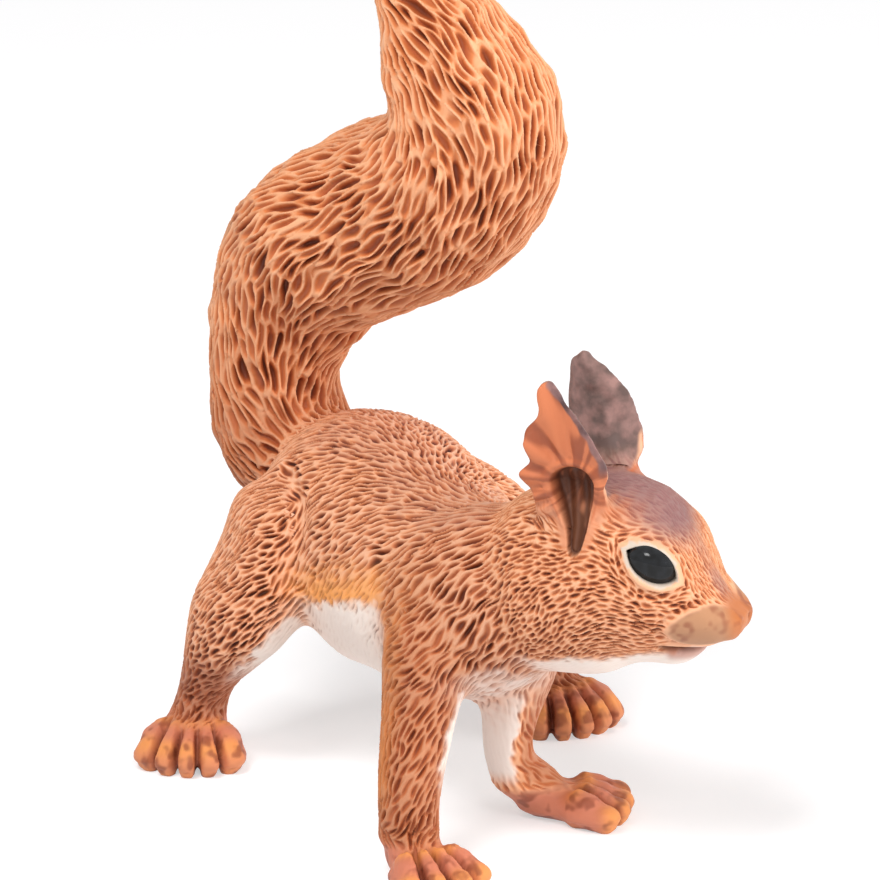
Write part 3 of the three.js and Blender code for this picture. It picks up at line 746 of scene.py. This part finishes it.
# Swellings and hollows, and the creases at the thighs, along which the hair turns
for place, half, high in SWELLS:
    away = ((places - np.array(place)) ** 2).sum(1) / half ** 2
    move += shift(normals, high * np.exp(-away))
for hand, sideways in THIGH_SHIFT.items():
    crease_line, crease_way = laid_line(np.array(THIGH_CREASE) * [-hand, 1, 1] + [sideways, 0, 0], 0.2)
    at = nearest_on(crease_line, places)
    away = np.linalg.norm(places - crease_line[at], axis=1)
    move -= shift(normals, THIGH_CREASE_DEEP * hump(away, 0, THIGH_CREASE_HALF))
    calm = most(calm, 0.8 * hump(away, 0, 0.5))
    down = crease_way[at]
    down = down * np.sign((down * flow).sum(1, keepdims=True))
    down_share = 0.7 * hump(away, 0, 1.0)[:, None]
    flow = flow * (1 - down_share) + down * down_share

# The top of the snout is one even slope
SNOUT_EASING = 160
places = places + move
snout = rise(10.6, 11.6, head_s) * rise(14.2, 13.5, head_s)
snout *= rise(17.2, 18.0, head_z) * rise(3.2, 2.4, head_o)
places = eased_where(places, edges, snout, SNOUT_EASING)
write(skin.data, places)
places, normals, edges = read(skin.data)
flow = across(flow, normals)
side = np.cross(normals, flow)

# Pale underside of the body, throat, chest and inner sides of the legs
BELLY_UP = 13.7
BELLY_SLOPE = 0.29
CHEST_UP = 15.5
CHEST_BACK = -7
THROAT = ([1, 3.4, 6, 8, 10.7], [13.6, 14.1, 14.4, 14.75, 14.9])
edge_fuzz = 0.12 * mottle(places, 1.0, 31) + 0.1 * mottle(places, 0.35, 32)
y, z = places.T[1:]
belly = z - (BELLY_UP - BELLY_SLOPE * (y + 1.0)) + 3 * edge_fuzz
chest_edge = z - CHEST_UP + 3 * edge_fuzz + 3 * rise(CHEST_BACK, -11, y)
belly = np.where(y < CHEST_BACK, chest_edge, belly)
pale = mine["torso"] * rise(0.5, -0.6, belly)
pale = most(pale, mine["head"] * rise(0.3, -0.3, z - np.interp(head_s, *THROAT) + 2 * edge_fuzz))
for name, hand in (("right_hind_leg", RIGHT), ("left_hind_leg", LEFT)):
    inner = normals @ np.array([-0.6 * hand, -0.4, -0.7]) + edge_fuzz
    pale = most(pale, mine[name] * rise(0.45, 0.75, inner) * rise(5.5, 8.5, z))
sideways = normals[:, 0] + edge_fuzz
pale = most(pale, mine["right_foreleg"] * rise(0.5, 0.8, sideways) * rise(4.5, 8.0, z))
pale = most(pale, mine["left_foreleg"] * rise(0.0, -0.3, sideways) * rise(2.4, 4.0, z))
pale = np.clip(pale, 0, 1)
chest = mine["torso"] * rise(CHEST_BACK, -9, y)
pale *= 1 - 0.5 * chest * rise(-0.3, 0.5, mottle(places, 0.7, 33))

# Amber above the belly and behind the near foreleg, dusk on the back and the crown
amber = mine["torso"] * rise(3.4, 0.0, belly) * rise(-9.0, -7.0, y)
rear_edge = rise(0.45, 0.95, normals @ np.array([-0.93, 0.37, 0.0]))
amber = most(amber, 0.6 * mine["right_foreleg"] * rear_edge * rise(3, 6, z)) * (1 - pale)
crown = rise(21.3, 23.3, head_z + 0.5 * edge_fuzz + 0.25 * (head_s - 9.5))
crown *= rise(4.6, 2.8, head_o) * (head_s > 2)
nose_line = 0.6 * rise(1.5, 0.5, head_o + edge_fuzz) * rise(0.3, 0.6, normals[:, 2]) * (head_s > 8)
crown = most(crown, nose_line)
dusk = mine["torso"] * rise(0.75, 1.0, normals[:, 2] + edge_fuzz) * 0.22
dusk = most(dusk, np.clip(mine["head"] * crown, 0, 1))
bare = most(bare, 0.5 * mine["head"] * crown, 0.92 * pale, 0.7 * mine["torso"] * amber)

# Washes: red-brown on the tail's root, the shanks and the forelegs, and brown blotches on bare parts
rust = mine["tail"] * 0.72 * rise(0.34, 0.1, tail_share)
for name in ("right_hind_leg", "left_hind_leg"):
    rust = most(rust, mine[name] * 0.9 * rise(9.0, 6.5, z + 2 * edge_fuzz) * rise(2.0, 3.0, z))
rust = most(rust, 0.75 * mine["right_foreleg"], mine["left_foreleg"] * 0.8 * rise(-0.1, 0.4, sideways))
blotch = rise(0.0, 0.7, mottle(places, 0.8, 51) + 0.6 * mottle(places, 0.35, 52))
stain_and_fold_shade = most(stain_and_fold_shade, blotch * most(paws, 0.8 * pad_in), 0.25 * mine["torso"] * rise(-6, -9, y))
warm = np.clip(mine["tail"] + mine["right_foreleg"] + mine["left_foreleg"] + 0.4 * mine["head"], 0, 1)

# The mouth's line is as dark as the ear holes: painted shade in the slit below the pad's edge
ear_hole_and_mouth_shade = most(ear_hole_and_mouth_shade, 0.8 * slit * rise(13.2, 12.4, head_s))

# The coat: pits between raised strands, stretched along the way the hair lies. Their middles are
# thrown at random and keep their distance from each other.
PIT_TRIES = 330000
PIT_ROOM = 0.66
PIT_THICK = 0.8
shoulder = mine["torso"] * rise(0.0, -6.0, y)
coat_sizes = [sum(mine[name] * COATS[name][k] for name in SKIN_PIECES) for k in range(3)]
coat_long, coat_wide, coat_deep = (
    size * (1 + more * shoulder) for size, more in zip(coat_sizes, SHOULDER_MORE))
dice = np.random.default_rng(7)
tries = dice.permutation(count)[:PIT_TRIES]
tree = KDTree(len(tries))
for k, v in enumerate(tries):
    tree.insert(places[v], k)
tree.balance()
free = np.ones(len(tries), bool)
pits = []
for k, v in enumerate(tries):
    if free[k]:
        pits.append(v)
        near = np.array([found[1] for found in tree.find_range(places[v], coat_long[v])])
        q = places[tries[near]] - places[v]
        gap = ((q @ flow[v]) / coat_long[v]) ** 2 + ((q @ side[v]) / coat_wide[v]) ** 2
        gap += ((q @ normals[v]) / PIT_THICK) ** 2
        free[near[gap < PIT_ROOM]] = False
pits = np.array(pits)

# Each pit has its own turn, length, width and depth, and the strands sway between them
PIT_TURN = 0.09
PIT_LONG_RANGE = (0.65, 1.4)
PIT_WIDE_RANGE = (0.7, 1.3)
PIT_DEEP_RANGE = (0.5, 1.15)
turn = dice.normal(0, PIT_TURN, len(pits))[:, None]
pit_flow = unit(flow[pits] + side[pits] * turn)
pit_side = np.cross(normals[pits], pit_flow)
pit_long = coat_long[pits] * dice.uniform(*PIT_LONG_RANGE, len(pits))
pit_wide = coat_wide[pits] * dice.uniform(*PIT_WIDE_RANGE, len(pits))
pit_deep = dice.uniform(*PIT_DEEP_RANGE, len(pits))


def swayed(size, seeds, amount):
    return np.stack([mottle(places, size, seed) for seed in seeds], 1) * amount[:, None]


asked = places + (swayed(0.9, (41, 42, 43), 0.5 * coat_wide * (1 - mine["tail"]))
                  + swayed(1.8, (44, 45, 46), 0.6 * coat_wide * mine["tail"]))

# The nearest two pits of every place, looked for in the cells round it
PIT_CELL = 2.6
home = np.floor(asked / PIT_CELL).astype(np.int64) + 100
key = home @ np.array([1000000, 1000, 1])
pit_home = np.floor(places[pits] / PIT_CELL).astype(np.int64) + 100
by_cell = {}
for k, h in enumerate(map(tuple, pit_home)):
    by_cell.setdefault(h, []).append(k)
order = np.argsort(key, kind="stable")
starts = np.flatnonzero(np.diff(key[order], prepend=-1))
along_pit, across_pit, between = np.ones((3, count))
nearest, next_one = np.zeros((2, count), int)
for group in np.split(order, starts[1:]):
    h = home[group[0]]
    around = [k for d in np.ndindex(3, 3, 3) for k in by_cell.get(tuple(h + np.array(d) - 1), ())]
    if len(around) < 2:
        continue
    around = np.array(around)
    q = asked[group][:, None, :] - places[pits[around]][None]
    a = (q * pit_flow[around]).sum(2) / pit_long[around]
    b = (q * pit_side[around]).sum(2) / pit_wide[around]
    c = (q * normals[pits[around]]).sum(2) / PIT_THICK
    gap = np.sqrt(a * a + b * b + c * c)
    two = np.argpartition(gap, 1, axis=1)[:, :2]
    near_gap, next_gap = np.take_along_axis(gap, two, 1).T
    nearest[group] = around[two[:, 0]]
    next_one[group] = around[two[:, 1]]
    along_pit[group] = np.take_along_axis(a, two, 1)[:, 0]
    across_pit[group] = np.hypot(*(np.take_along_axis(part, two, 1)[:, 0] for part in (b, c)))
    between[group] = next_gap - near_gap

# A pit is partly a dash of its own and partly the hollow between the strands round it. Strands run on
# past the ends of the pits, so the ridge there is lower than along the sides.
DASH_LONG = 0.66
DASH_WIDE = 0.44
HOLLOW_SHARE = 0.28
TAIL_HOLLOW_MORE = 0.42
HEAD_HOLLOW_MORE = 0.12
ENDS_LOWER = 0.3
q = places[pits[next_one]] - places[pits[nearest]]
end_on = ((q * flow).sum(1) / coat_long) ** 2
side_on = ((q * side).sum(1) / coat_wide) ** 2
ridge = 1 - ENDS_LOWER * end_on / np.maximum(end_on + side_on, 1e-6)
cell = 1 - ridge * (1 - rise(0.1, 0.56, between))
dash = rise(1.0, 0.25, np.hypot(along_pit / DASH_LONG, across_pit / DASH_WIDE))
hollow_share = HOLLOW_SHARE + TAIL_HOLLOW_MORE * mine["tail"] + HEAD_HOLLOW_MORE * mine["head"]
pit_depth = (dash + (cell - dash) * hollow_share) * pit_deep[nearest]
groove = pit_depth * (1 - bare) * (1 - 0.12 * mine["head"] - 0.4 * mine["left_foreleg"])
places = places - shift(normals, (1 - bare) * coat_deep * pit_depth)

# Knots are evened out, and so are the feet of the ears and the thigh creases; the soles are flat
KNOT_EASING = 40
CALM_EASING = 14
CALM_EDGE = (0.05, 0.6)
places = eased_where(places, edges, knot, KNOT_EASING)
places = eased_where(places, edges, rise(*CALM_EDGE, calm), CALM_EASING)
places[:, 2] = np.maximum(places[:, 2], 0.0)
write(skin.data, places)
places, normals, edges = read(skin.data)

# Painted shade: dark paint laid in the creases of the bare parts, between the toes and in the mouth slit
crease_shade = ((eased(places, edges, 2, 0.5) - places) * normals).sum(1)
crease_shade = eased(crease_shade, edges, 2, 0.5)
crease_shade = rise(0.002, 0.012, crease_shade) * bare * rise(0.25, 0.02, ear_inner) * (1 - np.clip(crown, 0, 1))
crease_shade = most(crease_shade, toe_groove_shade, 0.9 * slit)

MASKS = {"groove": groove, "crease_shade": crease_shade, "pale": pale, "amber": amber, "dusk": dusk, "slate": slate,
         "ear_hole_and_mouth_shade": ear_hole_and_mouth_shade, "ear_glow": ear_glow, "eye_ring": eye_ring, "eye_deep": eye_deep,
         "pad": pad_in, "lip": lip, "nose": nose, "paws": paws, "warm": warm, "rust": rust,
         "stain_and_fold_shade": stain_and_fold_shade, "knuckle_highlight": knuckle_highlight}
for name, values in MASKS.items():
    skin.data.attributes.new(name, "FLOAT", "POINT").data.foreach_set("value", values.astype(np.float32))


# Finishes

def colour(text):
    """An sRGB hex colour as linear red, green, blue and alpha."""
    parts = [int(text[i:i + 2], 16) / 255 for i in (1, 3, 5)]
    return [p / 12.92 if p <= 0.04045 else ((p + 0.055) / 1.055) ** 2.4 for p in parts] + [1.0]


def add(tree, kind, links=(), **settings):
    """Adds a node, sets its values and inputs, and links its inputs: (input, from node, output)."""
    made = tree.nodes.new(kind)
    for name, value in settings.items():
        if name == "inputs":
            for socket, setting in value.items():
                made.inputs[socket].default_value = setting
        elif name == "stops":
            ramp = made.color_ramp
            for k, (at, shade) in enumerate(value):
                stop = ramp.elements[k] if k < 2 else ramp.elements.new(at)
                stop.position = at
                stop.color = colour(shade)
        else:
            setattr(made, name, value)
    for socket, source, output in links:
        tree.links.new(source.outputs[output], made.inputs[socket])
    return made


def new_finish(name):
    made = bpy.data.materials.new(name)
    made.use_nodes = True
    made.node_tree.nodes.clear()
    return made, made.node_tree


def per_metre(size):
    """Scale of a pattern whose lumps are the given size in millimetres."""
    return 1 / (size * MM)


# Soft PVC, moulded and painted by hand: satin, warm orange on the raised strands, with a thin brown
# wash that has run into the pits, and other paints misted over it
MIST_SIZE = 3.84615
PATCH_SIZE = 1.25
PORE_SIZE = 0.384615
PORE_DEEP = 0.05
coat_paint, tree = new_finish("painted_soft_pvc")
where = add(tree, "ShaderNodeTexCoord")
mask = {name: add(tree, "ShaderNodeAttribute", attribute_name=name) for name in MASKS}
mist, grain, patches = (
    add(tree, "ShaderNodeTexNoise", [("Vector", where, "Object")],
        inputs={"Scale": per_metre(size), "Detail": detail})
    for size, detail in ((MIST_SIZE, 3.0), (PORE_SIZE, 2.0), (PATCH_SIZE, 4.0)))
fur = add(tree, "ShaderNodeValToRGB", [("Fac", mask["groove"], "Fac")],
          stops=[(0.0, "#eeb795"), (0.9, "#46190a"), (0.16, "#d8936b"), (0.34, "#bd734d"),
                 (0.58, "#854426")])
brush = add(tree, "ShaderNodeValToRGB", [("Fac", mask["groove"], "Fac")],
            stops=[(0.0, "#efb186"), (1.0, "#622914"), (0.28, "#d07c49"), (0.66, "#a8552e")])
murk = add(tree, "ShaderNodeValToRGB", [("Fac", patches, "Fac")],
           stops=[(0.38, "#332e36"), (0.66, "#8d6c6a")])
white = add(tree, "ShaderNodeValToRGB", [("Fac", mask["groove"], "Fac")],
            stops=[(0.0, "#f1e4da"), (1.0, "#c9a68e")])


def over(below, above, by, strength):
    """Paint laid over paint where a mask says so; above is a ramp or a colour."""
    share = add(tree, "ShaderNodeMath", [(0, by, "Fac")], operation="MULTIPLY", inputs={1: strength})
    links = [("Factor", share, 0), (6, *below)]
    settings = {}
    if isinstance(above, str):
        settings["inputs"] = {7: colour(above)}
    else:
        links.append((7, above, "Color"))
    return add(tree, "ShaderNodeMix", links, data_type="RGBA", **settings), 2


# The paints in the order that they went on: mask, paint and how thickly it covers. Some layers are painted
# light: a painted highlight on the knuckles, and painted shade in the ear folds' valleys, the creases,
# between the toes and in the mouth slit.
LAYERS = [("warm", brush, 1.0), ("amber", "#f6a352", 1.0), ("dusk", "#7d5b60", 0.88),
          ("rust", "#934a2b", 0.75), ("paws", "#c5745a", 0.9), ("knuckle_highlight", "#e2924f", 0.85),
          ("ear_glow", "#c66b40", 0.9), ("pale", white, 1.0), ("pad", "#ae7d5a", 0.9),
          ("nose", "#bd6e3b", 0.9), ("lip", "#a9634c", 0.7), ("stain_and_fold_shade", "#85402a", 0.75),
          ("slate", murk, 0.9), ("crease_shade", "#6d2f1b", 0.75), ("ear_hole_and_mouth_shade", "#4b2817", 0.9),
          ("eye_ring", "#cbbdae", 0.95), ("eye_deep", "#120d0b", 1.0)]
paint = over((fur, "Color"), brush, mist, 0.5)
for name, shade, strength in LAYERS:
    paint = over(paint, shade, mask[name], strength)
pores = add(tree, "ShaderNodeBump", [("Height", grain, "Fac")],
            inputs={"Strength": 0.12, "Distance": PORE_DEEP * MM})
sheen = add(tree, "ShaderNodeMapRange", [("Value", grain, "Fac")], inputs={"To Min": 0.45, "To Max": 0.65})
shader = add(tree, "ShaderNodeBsdfPrincipled",
             [("Base Color", *paint), ("Roughness", sheen, 0), ("Normal", pores, 0)],
             inputs={"IOR": 1.5, "Specular IOR Level": 0.45})
add(tree, "ShaderNodeOutputMaterial", [("Surface", shader, 0)])

# Eye beads: black gloss lacquer, deep black with grey clouds in its colour as painted reflection, and one
# clear small light in it
REFLECTION_CLOUD_SIZE = 0.714286
eye_paint, tree = new_finish("black_gloss_lacquer")
where = add(tree, "ShaderNodeTexCoord")
reflection_cloud = add(tree, "ShaderNodeTexNoise", [("Vector", where, "Object")],
            inputs={"Scale": per_metre(REFLECTION_CLOUD_SIZE), "Detail": 2.0})
# Painted reflection: grey clouds in the black stand in for the surroundings mirrored in the lacquer
black = add(tree, "ShaderNodeValToRGB", [("Fac", reflection_cloud, "Fac")], stops=[(0.4, "#020203"), (0.7, "#1a1c20")])
shader = add(tree, "ShaderNodeBsdfPrincipled", [("Base Color", black, "Color")],
             inputs={"Roughness": 0.12, "IOR": 1.5, "Specular IOR Level": 0.35})
add(tree, "ShaderNodeOutputMaterial", [("Surface", shader, 0)])

# The skin comes apart into its pieces, and each is closed where it meets the next
for shell in shell_names:
    skin.data.materials.append(bpy.data.materials.new("mould_" + shell))
bpy.ops.object.select_all(action="DESELECT")
skin.select_set(True)
bpy.context.view_layer.objects.active = skin
bpy.ops.mesh.separate(type="MATERIAL")
for piece in list(bpy.context.selected_objects):
    number = np.empty(len(piece.data.polygons), np.int32)
    piece.data.polygons.foreach_get("material_index", number)
    shell = piece.data.materials[int(number[0])].name.removeprefix("mould_")
    name = shells[shell_names.index(shell)][0]
    form = bmesh.new()
    form.from_mesh(piece.data)
    middle = sum((v.co for v in form.verts), Vector()) / len(form.verts)
    inner = HEAD_MIDDLE if name in HEAD_PIECES else middle
    sink = HEAD_CAP_SINK if name in HEAD_PIECES else CAP_SINK
    rims = [e for e in form.edges if e.is_boundary]
    for loop in groups(rims, lambda e: [g for v in e.verts for g in v.link_edges]):
        corners = {v for e in loop for v in e.verts}
        centre = sum((v.co for v in corners), Vector()) / len(corners)
        centre += (inner - centre).normalized() * sink
        for e in loop:
            e.smooth = False
        new = bmesh.ops.extrude_edge_only(form, edges=loop)["geom"]
        new_corners = [g for g in new if isinstance(g, bmesh.types.BMVert)]
        bmesh.ops.pointmerge(form, verts=new_corners, merge_co=centre)
    bmesh.ops.recalc_face_normals(form, faces=form.faces)
    bmesh.ops.scale(form, vec=(MM, MM, MM), verts=form.verts)
    for f in form.faces:
        f.smooth = True
        f.material_index = 0
    form.to_mesh(piece.data)
    form.free()
    piece.data.materials.clear()
    piece.data.materials.append(coat_paint)
    piece.name = shell + "_coat"
    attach(piece, "root")
    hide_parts(name)

# Eye beads
for name, (hand, middle) in EYES.items():
    faced, long_way, high_way = eye_axes(hand)
    bead = bmesh.new()
    bmesh.ops.create_uvsphere(bead, u_segments=48, v_segments=32, radius=1)
    bmesh.ops.scale(bead, vec=(EYE_LONG, EYE_HIGH, EYE_DEEP), verts=bead.verts)
    frame_of_eye = Matrix((long_way, high_way, faced)).transposed().to_4x4()
    bmesh.ops.transform(bead, matrix=Matrix.Translation(middle) @ frame_of_eye, verts=bead.verts)
    bmesh.ops.scale(bead, vec=(MM, MM, MM), verts=bead.verts)
    for f in bead.faces:
        f.smooth = True
    piece = bpy.data.objects.new(name + "_bead", bpy.data.meshes.new(name + "_bead"))
    bead.to_mesh(piece.data)
    bead.free()
    piece.data.materials.append(eye_paint)
    scene.collection.objects.link(piece)
    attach(piece, "root")
    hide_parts(name)


def background_rays(tree):
    """1 for the rays that show the background to the eye: straight, mirrored or through glass."""
    path = add(tree, "ShaderNodeLightPath")
    seen = add(tree, "ShaderNodeMath", [(0, path, "Is Camera Ray"), (1, path, "Is Glossy Ray")],
               operation="MAXIMUM")
    return add(tree, "ShaderNodeMath", [(0, seen, 0), (1, path, "Is Transmission Ray")], operation="MAXIMUM")


# Floor: plain pale card that reads white to the eye and keeps a soft shadow
FLOOR_HALF = 3.0
FLOOR_GLOW_SHARE = 0.35
FLOOR_GLOW = 1.42
floor_finish, tree = new_finish("matt_white_card")
share = add(tree, "ShaderNodeMath", [(0, background_rays(tree), 0)], operation="MULTIPLY",
            inputs={1: FLOOR_GLOW_SHARE})
card = add(tree, "ShaderNodeBsdfDiffuse", inputs={"Color": colour("#f4f3f4")})
bright = add(tree, "ShaderNodeEmission", inputs={"Color": (1, 1, 1, 1), "Strength": FLOOR_GLOW})
both = add(tree, "ShaderNodeMixShader", [(0, share, 0), (1, card, 0), (2, bright, 0)])
add(tree, "ShaderNodeOutputMaterial", [("Surface", both, 0)])
ground = bmesh.new()
bmesh.ops.create_grid(ground, x_segments=1, y_segments=1, size=FLOOR_HALF)
floor = bpy.data.objects.new("floor", bpy.data.meshes.new("floor"))
ground.to_mesh(floor.data)
ground.free()
floor.data.materials.append(floor_finish)
scene.collection.objects.link(floor)

# Studio: white all round, a large soft lamp above to the left, a weaker one to the right and a small
# one in front that glints in the eyes
SKY_LIGHT = 0.28
SKY_SEEN = 1.0
world = bpy.data.worlds.new("studio")
scene.world = world
world.use_nodes = True
tree = world.node_tree
tree.nodes.clear()
level = add(tree, "ShaderNodeMapRange", [("Value", background_rays(tree), 0)],
            inputs={"To Min": SKY_LIGHT, "To Max": SKY_SEEN})
sky = add(tree, "ShaderNodeBackground", [("Strength", level, 0)], inputs={"Color": (1, 1, 1, 1)})
add(tree, "ShaderNodeOutputWorld", [("Surface", sky, 0)])

TARGET = Vector((0.472, -1.017, 23.5)) * MM


def lamp(name, place, size, watts, glints):
    light = bpy.data.lights.new(name, "AREA")
    light.size = size
    light.energy = watts
    made = bpy.data.objects.new(name, light)
    made.location = Vector(place)
    made.visible_glossy = glints
    made.rotation_euler = (TARGET - made.location).to_track_quat("-Z", "Y").to_euler()
    scene.collection.objects.link(made)


lamp("top_lamp", place=(-0.3, -0.2, 0.6), size=0.25, watts=3.4, glints=False)
lamp("side_lamp", place=(0.42, -0.3, 0.12), size=0.3, watts=2.2, glints=False)
lamp("front_lamp", place=(-0.07, -0.45, 0.43), size=0.15, watts=0.9, glints=True)

# Camera: the view of the photograph
AZIMUTH = math.radians(-22)
ELEVATION = math.radians(18)
VIEW_DISTANCE = 0.42
VIEW_HIGH = 0.055
level_way = Vector((math.sin(AZIMUTH), -math.cos(AZIMUTH), 0.0))
back = level_way * math.cos(ELEVATION) + Vector(UP) * math.sin(ELEVATION)
lens = bpy.data.cameras.new("camera")
lens.sensor_width = 36.0
lens.lens = lens.sensor_width * VIEW_DISTANCE / VIEW_HIGH
lens.clip_start = 0.01
camera = bpy.data.objects.new("camera", lens)
camera.location = TARGET + back * VIEW_DISTANCE
camera.rotation_euler = back.to_track_quat("Z", "Y").to_euler()
scene.collection.objects.link(camera)
scene.camera = camera

bpy.context.view_layer.update()
